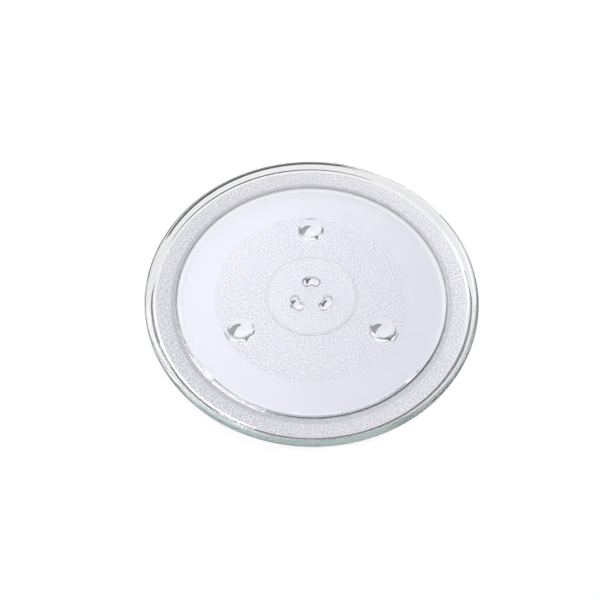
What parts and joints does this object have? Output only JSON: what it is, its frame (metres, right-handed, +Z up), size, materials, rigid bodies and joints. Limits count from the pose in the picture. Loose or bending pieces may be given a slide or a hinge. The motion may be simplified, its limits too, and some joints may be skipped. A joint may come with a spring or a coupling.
{
  "type": "microwave turntable plate",
  "caption": "Round pressed-glass turntable plate with a raised rim, domed feet and kidney-shaped drive lugs under its floor.",
  "frame": {"origin": "on the plate's axis, at the level of the table that the three feet stand on", "axes": "+Z up along the turning axis, food side up; +Y from the axis towards the first foot and the first drive lug; +X to the right"},
  "size_m": [0.315, 0.315, 0.0207],
  "materials": {
    "glass": "clear pressed glass, polished track and lip, fine stipple on the disc, riser and flange"
  },
  "bodies": {
    "root": {"plate": "glass"}
  },
  "joints": []
}
